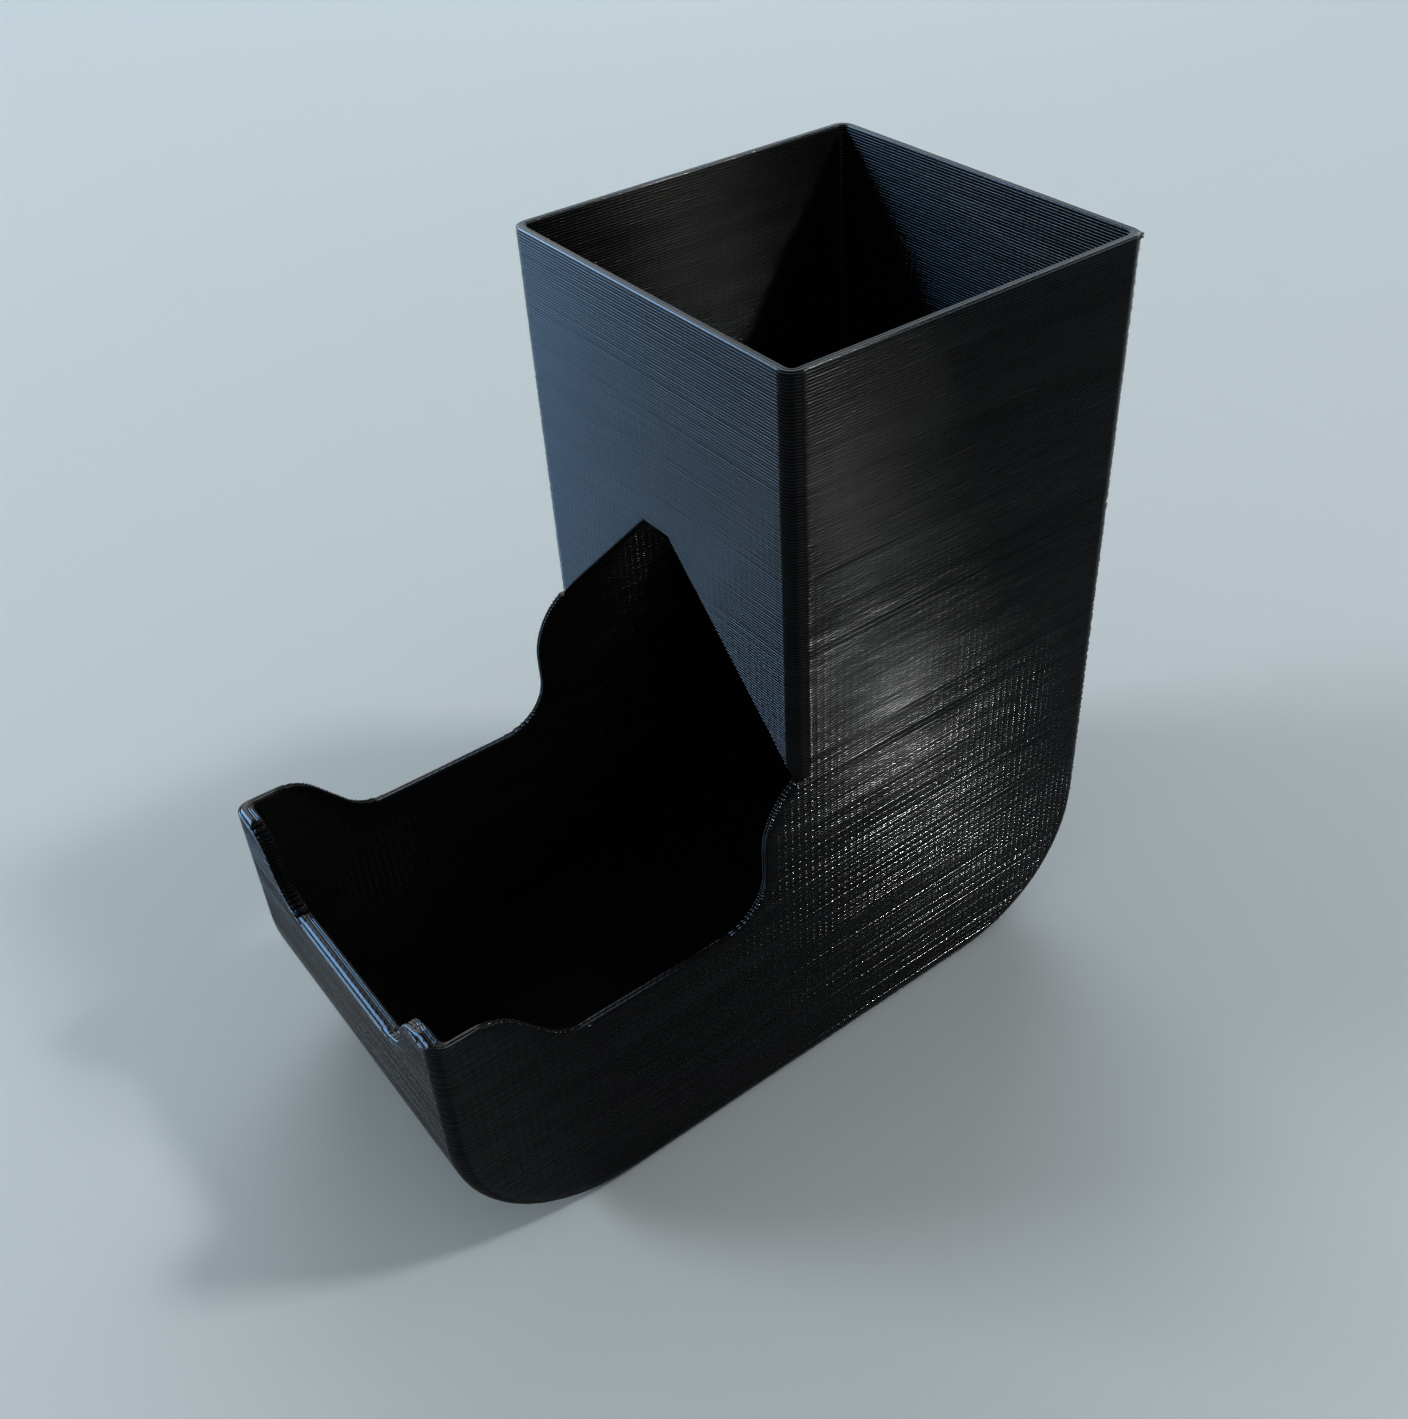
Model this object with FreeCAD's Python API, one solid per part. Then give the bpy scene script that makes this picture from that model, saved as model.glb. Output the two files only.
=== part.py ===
import FreeCAD, Part

import math
import os

# Small dice tower for 16 mm dice: a square shaft stands behind a square tray, and the two share
# one line of wall.  Everything is in millimetres.  X runs across the tower, +Y towards its back and
# +Z up.  The origin is the centre of the footprint at table level.

# ---- driving dimensions ----
HEIGHT = 100.0
WIDTH = 50.0
SHAFT_DEPTH = 50.0
WALL = 1.2
FLOOR = 1.2
TRAY_FRONT_WALL = 2.0
CORNER_RADIUS = 2.0
HEEL_RADIUS = 19.2
TOE_RADIUS = 22.0
RAMP_RADIUS = 55.0

LOW_RIM = 30.75
CORNER_RIM = 39.6

# side rim of the tray, seen from the side: a corner plateau, a dip and a climb to the shaft
SIDE_DIP_START = 5.4
SIDE_DIP_END = 18.9
SIDE_DIP_RADIUS = 6.5
SIDE_CLIMB_END = 4.75
SIDE_CLIMB_RADIUS = 6.75
SIDE_CLIMB_STRAIGHT = 3.3
SIDE_TOP_RADIUS = 10.0

# notch in the tray's front wall, seen from the front
NOTCH_HALF_FLAT = 10.3
NOTCH_HALF_TOP = 21.0
NOTCH_TOP_RADIUS = 4.4
NOTCH_FOOT_RADIUS = 6.2

# pointed doorway in the shaft's front wall, with 45 degree flanks
DOOR_APEX = 73.6
DOOR_TOP = 71.5

# sparse grid of thin plates that carries the ramp from below
GRID_PLATE = 0.6
GRID_PITCH = 8.0

# ---- derived places ----
DEPTH = 2.0 * SHAFT_DEPTH - WALL
HALF_WIDTH = WIDTH / 2.0
INNER_HALF = HALF_WIDTH - WALL
FLAT_HALF = HALF_WIDTH - CORNER_RADIUS
BACK = DEPTH / 2.0
FRONT = -DEPTH / 2.0
SHAFT_FRONT = BACK - SHAFT_DEPTH
INNER_BACK = BACK - WALL
INNER_SHAFT_FRONT = SHAFT_FRONT + WALL
INNER_FRONT = FRONT + TRAY_FRONT_WALL
INNER_CORNER = CORNER_RADIUS - WALL
INNER_TOE = TOE_RADIUS - TRAY_FRONT_WALL
RAMP_START = INNER_SHAFT_FRONT
RAMP_TOP = FLOOR + RAMP_RADIUS - math.sqrt(RAMP_RADIUS ** 2 - (INNER_BACK - RAMP_START) ** 2)
REACH = 2.0 * HEIGHT
MARGIN = 1.0


def side_point(y, z):
    return FreeCAD.Vector(0.0, y, z)


def front_point(x, z):
    return FreeCAD.Vector(x, 0.0, z)


def line(start, end):
    return Part.LineSegment(start, end).toShape()


def on_circle(centre, radius, angle_deg):
    turn = math.radians(angle_deg)
    return (centre[0] + radius * math.cos(turn), centre[1] + radius * math.sin(turn))


def arc(centre, radius, start_deg, end_deg, point):
    """Arc about centre (u, v) in the plane that point() maps to, from one angle to another."""
    angles = (start_deg, 0.5 * (start_deg + end_deg), end_deg)
    spots = [point(*on_circle(centre, radius, angle)) for angle in angles]
    return Part.Arc(*spots).toShape()


def slab(edges, direction):
    """Solid made by pushing a closed outline along direction."""
    wire = Part.Wire(Part.__sortEdges__(edges))
    return Part.Face(wire).extrude(direction)


def box(x_low, x_high, y_low, y_high, z_low, z_high):
    corner = FreeCAD.Vector(x_low, y_low, z_low)
    return Part.makeBox(x_high - x_low, y_high - y_low, z_high - z_low, corner)


def s_bend(start, end, top_radius, foot_radius, point):
    """Falling curve from start to end, level at both ends: top arc, straight, foot arc."""
    upper = (start[0], start[1] - top_radius)
    lower = (end[0], end[1] + foot_radius)
    across = abs(lower[0] - upper[0])
    rise = lower[1] - upper[1]
    reach = top_radius + foot_radius
    straight = math.sqrt(across ** 2 + rise ** 2 - reach ** 2)
    turn = math.degrees(math.atan2(reach, straight) - math.atan2(rise, across))
    way = math.copysign(1.0, end[0] - start[0])
    top_end = 90.0 - way * turn
    foot_start = -90.0 - way * turn
    top_tip = on_circle(upper, top_radius, top_end)
    foot_tip = on_circle(lower, foot_radius, foot_start)
    return [
        arc(upper, top_radius, 90.0, top_end, point),
        line(point(*top_tip), point(*foot_tip)),
        arc(lower, foot_radius, foot_start, -90.0, point),
    ]


def outer_block():
    """Outside of the whole object as a full-height block, with its rounded side outline."""
    edges = [
        line(side_point(FRONT, HEIGHT), side_point(FRONT, TOE_RADIUS)),
        arc((FRONT + TOE_RADIUS, TOE_RADIUS), TOE_RADIUS, 180.0, 270.0, side_point),
        line(side_point(FRONT + TOE_RADIUS, 0.0), side_point(BACK - HEEL_RADIUS, 0.0)),
        arc((BACK - HEEL_RADIUS, HEEL_RADIUS), HEEL_RADIUS, 270.0, 360.0, side_point),
        line(side_point(BACK, HEEL_RADIUS), side_point(BACK, HEIGHT)),
        line(side_point(BACK, HEIGHT), side_point(FRONT, HEIGHT)),
    ]
    solid = slab(edges, FreeCAD.Vector(WIDTH, 0.0, 0.0))
    solid.translate(FreeCAD.Vector(-HALF_WIDTH, 0.0, 0.0))
    rounded = [edge for edge in solid.Edges if runs_along_side(edge)]
    return solid.makeFillet(CORNER_RADIUS, rounded)


def runs_along_side(edge):
    """True for the edges of the two side faces, leaving out those of the flat top."""
    bounds = edge.BoundBox
    on_side = bounds.XLength < 0.01
    on_top = bounds.ZMin > HEIGHT - 0.01
    return on_side and not on_top


def inner_block():
    """Room inside the walls: tray, shaft and the curved ramp between them."""
    ramp_angle = math.degrees(math.asin((INNER_BACK - RAMP_START) / RAMP_RADIUS))
    above = HEIGHT + WALL
    edges = [
        line(side_point(INNER_FRONT, above), side_point(INNER_FRONT, FLOOR + INNER_TOE)),
        arc((INNER_FRONT + INNER_TOE, FLOOR + INNER_TOE), INNER_TOE, 180.0, 270.0, side_point),
        line(side_point(INNER_FRONT + INNER_TOE, FLOOR), side_point(RAMP_START, FLOOR)),
        arc((RAMP_START, FLOOR + RAMP_RADIUS), RAMP_RADIUS, 270.0, 270.0 + ramp_angle, side_point),
        line(side_point(INNER_BACK, RAMP_TOP), side_point(INNER_BACK, above)),
        line(side_point(INNER_BACK, above), side_point(INNER_FRONT, above)),
    ]
    solid = slab(edges, FreeCAD.Vector(2.0 * INNER_HALF, 0.0, 0.0))
    solid.translate(FreeCAD.Vector(-INNER_HALF, 0.0, 0.0))
    upright = [edge for edge in solid.Edges if edge.BoundBox.ZMax > above - 0.01 and is_upright(edge)]
    return solid.makeFillet(INNER_CORNER, upright)


def is_upright(edge):
    bounds = edge.BoundBox
    return bounds.XLength < 0.01 and bounds.YLength < 0.01


def above_side_rims():
    """Everything that is cut away over the tray, seen from the side."""
    dip_start = FRONT + SIDE_DIP_START
    dip_end = FRONT + SIDE_DIP_END
    wall_line = SHAFT_FRONT - SIDE_CLIMB_END
    climb_start = wall_line - SIDE_CLIMB_RADIUS
    climb_mid = LOW_RIM + SIDE_CLIMB_RADIUS
    climb_top = climb_mid + SIDE_CLIMB_STRAIGHT
    top_centre = (wall_line + SIDE_TOP_RADIUS, climb_top)
    top_angle = 180.0 - math.degrees(math.acos((top_centre[0] - SHAFT_FRONT) / SIDE_TOP_RADIUS))
    meet = climb_top + SIDE_TOP_RADIUS * math.sin(math.radians(top_angle))
    outside = FRONT - WALL
    above = HEIGHT + WALL
    edges = [
        line(side_point(outside, above), side_point(outside, CORNER_RIM)),
        line(side_point(outside, CORNER_RIM), side_point(dip_start, CORNER_RIM)),
    ]
    edges += s_bend((dip_start, CORNER_RIM), (dip_end, LOW_RIM), SIDE_DIP_RADIUS, SIDE_DIP_RADIUS,
                    side_point)
    edges += [
        line(side_point(dip_end, LOW_RIM), side_point(climb_start, LOW_RIM)),
        arc((climb_start, climb_mid), SIDE_CLIMB_RADIUS, 270.0, 360.0, side_point),
        line(side_point(wall_line, climb_mid), side_point(wall_line, climb_top)),
        arc(top_centre, SIDE_TOP_RADIUS, 180.0, top_angle, side_point),
        line(side_point(SHAFT_FRONT, meet), side_point(SHAFT_FRONT, above)),
        line(side_point(SHAFT_FRONT, above), side_point(outside, above)),
    ]
    solid = slab(edges, FreeCAD.Vector(REACH, 0.0, 0.0))
    solid.translate(FreeCAD.Vector(-REACH / 2.0, 0.0, 0.0))
    return solid, meet


def front_notch():
    """Dip in the tray's front wall."""
    above = CORNER_RIM + WALL
    edges = []
    for way in (-1.0, 1.0):
        top = (way * NOTCH_HALF_TOP, CORNER_RIM)
        bottom = (way * NOTCH_HALF_FLAT, LOW_RIM)
        edges += s_bend(top, bottom, NOTCH_TOP_RADIUS, NOTCH_FOOT_RADIUS, front_point)
        edges.append(line(front_point(*top), front_point(top[0], above)))
    edges.append(line(front_point(-NOTCH_HALF_FLAT, LOW_RIM), front_point(NOTCH_HALF_FLAT, LOW_RIM)))
    edges.append(line(front_point(-NOTCH_HALF_TOP, above), front_point(NOTCH_HALF_TOP, above)))
    solid = slab(edges, FreeCAD.Vector(0.0, TRAY_FRONT_WALL + 2.0 * WALL, 0.0))
    solid.translate(FreeCAD.Vector(0.0, FRONT - WALL, 0.0))
    return solid


def corner_shaving(side, foot):
    """Sliver that rounds one upright front edge of the shaft, from its foot to the top."""
    x_axis = side * FLAT_HALF
    y_axis = SHAFT_FRONT + CORNER_RADIUS
    x_low, x_high = sorted((x_axis, side * (HALF_WIDTH + MARGIN)))
    height = HEIGHT + WALL - foot
    block = box(x_low, x_high, SHAFT_FRONT - MARGIN, y_axis, foot, foot + height)
    post = Part.makeCylinder(CORNER_RADIUS, height, FreeCAD.Vector(x_axis, y_axis, foot))
    return block.cut(post)


def front_panel(foot):
    """Front wall of the shaft with rounded inner corners and its pointed doorway."""
    panel = box(-INNER_HALF, INNER_HALF, SHAFT_FRONT, INNER_SHAFT_FRONT + INNER_CORNER, foot, HEIGHT)
    hollow = box(-INNER_HALF, INNER_HALF, INNER_SHAFT_FRONT, INNER_SHAFT_FRONT + 2.0 * INNER_CORNER,
                 foot, HEIGHT)
    inner = [edge for edge in hollow.Edges
             if is_upright(edge) and edge.BoundBox.YMax < INNER_SHAFT_FRONT + 0.01]
    return panel.cut(hollow.makeFillet(INNER_CORNER, inner))


def doorway():
    """Pointed opening: open to the inner width below, 45 degree flanks, small flat top."""
    half_top = DOOR_APEX - DOOR_TOP
    foot = DOOR_APEX - INNER_HALF
    outline = [
        front_point(-INNER_HALF, 0.0),
        front_point(INNER_HALF, 0.0),
        front_point(INNER_HALF, foot),
        front_point(half_top, DOOR_TOP),
        front_point(-half_top, DOOR_TOP),
        front_point(-INNER_HALF, foot),
    ]
    edges = [line(outline[i - 1], outline[i]) for i in range(len(outline))]
    solid = slab(edges, FreeCAD.Vector(0.0, 4.0 * WALL, 0.0))
    solid.translate(FreeCAD.Vector(0.0, SHAFT_FRONT - WALL, 0.0))
    return solid


def whole_shell():
    """Walls, floor and ramp in one, before they are told apart."""
    over_tray, meet = above_side_rims()
    tray_and_shaft = outer_block().cut(inner_block())
    tray_and_shaft = tray_and_shaft.cut(over_tray)
    tray_and_shaft = tray_and_shaft.cut(front_notch())
    shell = tray_and_shaft.fuse(front_panel(meet).cut(doorway()))
    for side in (-1.0, 1.0):
        shell = shell.cut(corner_shaving(side, meet))
    return shell.removeSplitter()


def under_ramp():
    """Room between the ramp's skin and the outer skin, where only the sparse grid is."""
    skin_radius = RAMP_RADIUS + WALL
    heel = HEEL_RADIUS - WALL
    centre_z = FLOOR + RAMP_RADIUS
    start_y = RAMP_START + math.sqrt(skin_radius ** 2 - (centre_z - WALL) ** 2)
    start_angle = math.degrees(math.asin((start_y - RAMP_START) / skin_radius))
    end_angle = math.degrees(math.asin((INNER_BACK - RAMP_START) / skin_radius))
    end_z = centre_z - skin_radius * math.cos(math.radians(end_angle))
    edges = [
        arc((RAMP_START, centre_z), skin_radius, 270.0 + start_angle, 270.0 + end_angle, side_point),
        line(side_point(start_y, WALL), side_point(BACK - HEEL_RADIUS, WALL)),
        arc((BACK - HEEL_RADIUS, HEEL_RADIUS), heel, 270.0, 360.0, side_point),
        line(side_point(INNER_BACK, HEEL_RADIUS), side_point(INNER_BACK, end_z)),
    ]
    solid = slab(edges, FreeCAD.Vector(2.0 * INNER_HALF, 0.0, 0.0))
    solid.translate(FreeCAD.Vector(-INNER_HALF, 0.0, 0.0))
    return solid


def grid_plates():
    """Two crossed sets of upright plates, each at 45 degrees to the walls."""
    count = int(SHAFT_DEPTH * math.sqrt(2.0) / GRID_PITCH / 2.0) + 1
    centre = FreeCAD.Vector(0.0, SHAFT_FRONT + SHAFT_DEPTH / 2.0, 0.0)
    plates = []
    for turn in (45.0, -45.0):
        for number in range(-count, count + 1):
            offset = number * GRID_PITCH
            plate = box(-REACH / 2.0, REACH / 2.0, offset - GRID_PLATE / 2.0, offset + GRID_PLATE / 2.0,
                        0.0, HEIGHT / 2.0)
            plate.rotate(FreeCAD.Vector(0.0, 0.0, 0.0), FreeCAD.Vector(0.0, 0.0, 1.0), turn)
            plate.translate(centre)
            plates.append(plate)
    return plates[0].multiFuse(plates[1:])


def between(solid, x_low, x_high, y_low, y_high, z_low=-MARGIN, z_high=HEIGHT + MARGIN):
    """The part of a solid inside a box."""
    return solid.common(box(x_low, x_high, y_low, y_high, z_low, z_high))


def ramp_bar():
    """Thick round bar across the shaft whose surface is the underside of the ramp's skin."""
    end = FreeCAD.Vector(-INNER_HALF, RAMP_START, FLOOR + RAMP_RADIUS)
    return Part.makeCylinder(RAMP_RADIUS + WALL, 2.0 * INNER_HALF, end, FreeCAD.Vector(1.0, 0.0, 0.0))


def sub_parts():
    """All named regions.  The side walls keep every rounded edge; the rest fits between them."""
    shell = whole_shell()
    core = under_ramp()
    bar = ramp_bar()
    ahead = FRONT - MARGIN
    behind = BACK + MARGIN
    below = -MARGIN
    toe_end = FRONT + TOE_RADIUS
    toe_top = FLOOR + INNER_TOE
    parts = {}
    for name, side in (("left", -1.0), ("right", 1.0)):
        x_low, x_high = sorted((side * FLAT_HALF, side * (HALF_WIDTH + MARGIN)))
        side_wall = between(shell, x_low, x_high, ahead, behind).cut(core)
        parts["shaft_" + name + "_wall"] = between(side_wall, x_low, x_high, SHAFT_FRONT, behind)
        parts["tray_" + name + "_wall"] = between(side_wall, x_low, x_high, ahead, SHAFT_FRONT)
    middle = between(shell, -FLAT_HALF, FLAT_HALF, ahead, behind)
    toe = between(middle, -WIDTH, WIDTH, ahead, toe_end)
    parts["tray_front_wall"] = between(toe, -WIDTH, WIDTH, ahead, toe_end, toe_top)
    parts["tray_toe"] = between(toe, -WIDTH, WIDTH, ahead, toe_end, below, toe_top)
    parts["tray_floor"] = between(middle, -WIDTH, WIDTH, toe_end, RAMP_START, below, CORNER_RIM)
    parts["shaft_front_wall"] = between(middle, -WIDTH, WIDTH, SHAFT_FRONT, INNER_SHAFT_FRONT,
                                        CORNER_RIM)
    shaft_rear = between(middle, -WIDTH, WIDTH, RAMP_START, behind)
    parts["shaft_back_wall"] = between(shaft_rear, -WIDTH, WIDTH, RAMP_START, behind, RAMP_TOP)
    base = between(shaft_rear, -WIDTH, WIDTH, RAMP_START, behind, below, RAMP_TOP).cut(core)
    parts["exit_ramp"] = base.common(bar)
    parts["heel_skin"] = base.cut(bar)
    parts["ramp_grid"] = grid_plates().common(core)
    return parts


def main():
    os.makedirs("parts", exist_ok=True)
    for name, shape in sub_parts().items():
        shape = shape.removeSplitter()
        solids = shape.Solids
        print(name, "solids", len(solids), "valid", shape.isValid(), "volume", round(shape.Volume, 1))
        Part.makeCompound(solids).exportStep("parts/" + name + ".step")


main()
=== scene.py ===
import math

import bpy
import numpy as np
from mathutils import Matrix, Vector


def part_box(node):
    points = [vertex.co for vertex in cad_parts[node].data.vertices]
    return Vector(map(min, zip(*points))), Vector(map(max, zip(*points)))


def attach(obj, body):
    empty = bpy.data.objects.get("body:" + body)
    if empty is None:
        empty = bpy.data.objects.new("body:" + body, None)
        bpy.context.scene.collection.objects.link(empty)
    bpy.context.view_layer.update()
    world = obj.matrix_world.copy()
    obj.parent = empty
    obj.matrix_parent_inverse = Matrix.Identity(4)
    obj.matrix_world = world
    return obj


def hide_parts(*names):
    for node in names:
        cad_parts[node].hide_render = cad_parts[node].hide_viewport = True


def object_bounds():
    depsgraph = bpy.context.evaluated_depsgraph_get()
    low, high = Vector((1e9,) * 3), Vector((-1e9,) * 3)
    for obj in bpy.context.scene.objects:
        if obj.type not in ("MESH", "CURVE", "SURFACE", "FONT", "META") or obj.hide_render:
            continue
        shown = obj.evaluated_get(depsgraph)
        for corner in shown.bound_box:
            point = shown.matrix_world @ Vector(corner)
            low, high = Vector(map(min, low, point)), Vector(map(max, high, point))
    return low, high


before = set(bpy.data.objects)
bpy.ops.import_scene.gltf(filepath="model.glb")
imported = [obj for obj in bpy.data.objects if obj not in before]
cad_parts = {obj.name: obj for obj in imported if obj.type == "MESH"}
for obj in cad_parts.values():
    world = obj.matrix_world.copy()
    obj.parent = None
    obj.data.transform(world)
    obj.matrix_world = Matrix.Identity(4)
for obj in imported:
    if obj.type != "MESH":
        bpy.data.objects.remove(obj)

CAD_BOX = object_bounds()
MM = 0.001

# ---------------------------------------------------------------- sizes, in millimetres


def node_box(node):
    """Lowest and highest corner of a CAD node in millimetres."""
    low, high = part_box(node)
    return [value / MM for value in low], [value / MM for value in high]


BOX_LOW = [value / MM for value in CAD_BOX[0]]
BOX_HIGH = [value / MM for value in CAD_BOX[1]]
FRONT_WALL_LOW, FRONT_WALL_HIGH = node_box("shaft_front_wall")
TRAY_FRONT_LOW, TRAY_FRONT_HIGH = node_box("tray_front_wall")
FLOOR_LOW, FLOOR_HIGH = node_box("tray_floor")
BACK_WALL_LOW, BACK_WALL_HIGH = node_box("shaft_back_wall")

HALF_WIDTH = BOX_HIGH[0]
FRONT = BOX_LOW[1]
BACK = BOX_HIGH[1]
TOP = BOX_HIGH[2]
FLAT_HALF = FRONT_WALL_HIGH[0]
CORNER = HALF_WIDTH - FLAT_HALF
SHAFT_FRONT = FRONT_WALL_LOW[1]
WALL = FRONT_WALL_HIGH[1] - SHAFT_FRONT
INNER_BACK = BACK - WALL
INNER_CORNER = CORNER - WALL
FLOOR = FLOOR_HIGH[2]
TOE_AXIS = FLOOR_LOW[1]
RAMP_START = FLOOR_HIGH[1]
TOE_RADIUS = TOE_AXIS - FRONT
INNER_FRONT = TRAY_FRONT_HIGH[1]
INNER_TOE = TOE_AXIS - INNER_FRONT
RAMP_RUN = INNER_BACK - RAMP_START
RAMP_TOP = BACK_WALL_LOW[2]
RAMP_RISE = RAMP_TOP - FLOOR
RAMP_RADIUS = (RAMP_RUN ** 2 + RAMP_RISE ** 2) / (2.0 * RAMP_RISE)
HEEL_RADIUS = 19.2
CORNER_RIM = TRAY_FRONT_HIGH[2]
LOW_RIM = 30.75

# side rim: two arcs of one radius down from the corner plateau, three arcs and a rise at the shaft
DIP_START = FRONT + 5.4
DIP_END = FRONT + 18.9
DIP_RADIUS = 6.5
CLIMB_LINE = SHAFT_FRONT - 4.75
CLIMB_RADIUS = 6.75
CLIMB_STRAIGHT = 3.3
CLIMB_TOP_RADIUS = 10.0
# front notch
NOTCH_FOOT = 10.3
NOTCH_TOP = 21.0
NOTCH_FOOT_RADIUS = 6.2
NOTCH_TOP_RADIUS = 4.4
# pointed doorway with 45 degree flanks
DOOR_APEX = 73.6
DOOR_TOP = 71.5

# ---------------------------------------------------------------- the print's layers

LAYERS = 280
LAYER = TOP / LAYERS
GROOVE = 0.120
# rows up one layer: share of its height, share of the groove's depth, share of a free top's drop
BEAD_ROWS = ((0.0, 1.0, 1.0), (0.07, 0.50, 0.0), (0.25, 0.10, 0.0), (0.80, 0.06, 0.52),
             (0.90, 0.36, 0.76))
END_GROOVE = 0.10
LINE_SPREAD = 0.012
POOR_LINES = 0.18
POOR_INSET = 0.028
SEAM_BUMP = 0.10
CORNER_TURNS = (0.0, 0.02, 0.17, 0.34, 0.5, 0.66, 0.83, 0.98, 1.0)
FLAT_COLUMNS = 12
SHORT_COLUMNS = 4
# a wall draws in a little over the last stretch before it stops in the open
END_BAND = 1.8
END_STEPS = (1.8, 1.2, 0.7, 0.3, 0.0)
END_EASE = 0.14

LOW_RIM_LAYER = round(LOW_RIM / LAYER)
CORNER_RIM_LAYER = round(CORNER_RIM / LAYER)
FLOOR_LAYERS = int(FLOOR / LAYER)
RAMP_TOP_LAYER = round(RAMP_TOP / LAYER)
TOE_TOP_LAYER = round(TRAY_FRONT_LOW[2] / LAYER)
SHAFT_FOOT_LAYER = round(node_box("tray_left_wall")[1][2] / LAYER)
DOOR_FOOT_LAYER = int((DOOR_APEX - FLAT_HALF) / LAYER + 0.5)
DOOR_TOP_LAYER = round(DOOR_TOP / LAYER)

# section across a wall: share of its thickness, drop of the rim on a two-line wall and on the
# thicker front wall, and how far each line's end is rounded back
RIM_ACROSS = np.array([0.0, 0.05, 0.10, 0.14, 0.20, 0.44, 0.50, 0.56, 0.66, 0.70, 0.75, 0.80, 0.85,
                       0.90, 0.96, 1.0])
TWO_LINE_RIM = np.array([0.12, 0.06, 0.03, 0.01, 0.0, 0.01, 0.035, 0.01, 0.0, 0.0, 0.0, 0.0,
                         0.01, 0.03, 0.06, 0.12])
FRONT_RIM = np.array([0.10, 0.02, 0.02, 0.15, 0.02, 0.0, 0.0, 0.0, 0.01, 0.08, 0.01, 0.01, 0.08,
                      0.01, 0.03, 0.10])
END_ROUNDING = np.array([0.30, 0.14, 0.06, 0.03, 0.0, 0.08, 0.20, 0.08, 0.01, 0.0, 0.0, 0.0, 0.02,
                         0.06, 0.14, 0.30])

rng = np.random.default_rng(27)
LINE_INSET = np.abs(rng.normal(0.0, LINE_SPREAD, LAYERS + 2))
LINE_INSET += POOR_INSET * rng.uniform(0.4, 1.0, LAYERS + 2) * (rng.random(LAYERS + 2) < POOR_LINES)
DRIFT_PHASE = rng.uniform(0.0, 2.0 * math.pi, (LAYERS + 2, 3))
DRIFT_WAVES = np.array([0.07, 0.15, 0.31])
DRIFT_SIZE = np.array([0.004, 0.002, 0.001])
SEAM = SEAM_BUMP * rng.uniform(0.2, 1.0, LAYERS + 2)
SEAM[LAYERS - 2:] = 2.5 * SEAM_BUMP


class Row:
    """One height in the print: where it is, which layers shape it and how far lines sit inside."""

    def __init__(self, layer, share, depth, crown):
        self.layer = layer
        self.share = share
        self.depth = depth
        self.crown = crown
        self.z = (layer + share) * LAYER
        self.on_groove = share == 0.0
        below = max(layer - 1, 0) if self.on_groove else layer
        self.grow = (below + 0.5) * LAYER
        self.shrink = (min(layer, LAYERS - 1) + 0.5) * LAYER
        self.inset = GROOVE * depth + max(LINE_INSET[layer], LINE_INSET[below])


def row_list(first, last):
    """Rows from the groove under layer first to the groove on top of layer last - 1."""
    rows = [Row(layer, *bead) for layer in range(first, last) for bead in BEAD_ROWS]
    rows.append(Row(last, *BEAD_ROWS[0]))
    return rows


def drift(layer, along):
    """Slow in-and-out wander of one layer's line along a wall, never outwards."""
    waves = np.sin(np.multiply.outer(along, 2.0 * math.pi * DRIFT_WAVES) / 3.0 + DRIFT_PHASE[layer])
    return DRIFT_SIZE.sum() + waves @ DRIFT_SIZE


# ---------------------------------------------------------------- side outline, in millimetres


def root(value):
    return math.sqrt(max(0.0, value))


def heel_line(z, depth):
    """Y of the outer back surface at height z, pushed in by depth."""
    if z >= HEEL_RADIUS:
        return BACK - depth
    return BACK - HEEL_RADIUS + root((HEEL_RADIUS - depth) ** 2 - (HEEL_RADIUS - z) ** 2)


def toe_line(z, depth):
    if z >= TOE_RADIUS:
        return FRONT + depth
    return TOE_AXIS - root((TOE_RADIUS - depth) ** 2 - (TOE_RADIUS - z) ** 2)


def ramp_line(z, depth):
    """Y of the inner back surface at height z: the ramp, then the back wall."""
    if z >= RAMP_TOP:
        return INNER_BACK - depth
    if z <= FLOOR:
        return RAMP_START
    on_ramp = RAMP_START + root((RAMP_RADIUS - depth) ** 2 - (FLOOR + RAMP_RADIUS - z) ** 2)
    return min(INNER_BACK - depth, on_ramp)


def inner_toe_line(z, depth):
    if z >= FLOOR + INNER_TOE:
        return INNER_FRONT + depth
    return TOE_AXIS - root((INNER_TOE - depth) ** 2 - (FLOOR + INNER_TOE - z) ** 2)


def outer_reach(z, inset):
    """How far the outer side surface stands out from the flat middle at height z."""
    radius = CORNER - inset
    if z >= CORNER:
        return radius
    return root(radius ** 2 - (CORNER - z) ** 2)


def inner_reach(z, inset):
    radius = INNER_CORNER + inset
    above_floor = z - FLOOR
    if above_floor <= 0.0:
        return 0.0
    if above_floor >= INNER_CORNER:
        return radius
    return root(radius ** 2 - (INNER_CORNER - above_floor) ** 2)


def climb(z):
    """Y where the tray's side rim stands at height z, beside the shaft."""
    rise = z - LOW_RIM
    if rise <= 0.0:
        return CLIMB_LINE - CLIMB_RADIUS
    if rise <= CLIMB_RADIUS:
        return CLIMB_LINE - CLIMB_RADIUS + root(CLIMB_RADIUS ** 2 - (CLIMB_RADIUS - rise) ** 2)
    rise -= CLIMB_RADIUS + CLIMB_STRAIGHT
    if rise <= 0.0:
        return CLIMB_LINE
    return CLIMB_LINE + CLIMB_TOP_RADIUS - root(CLIMB_TOP_RADIUS ** 2 - rise ** 2)


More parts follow.
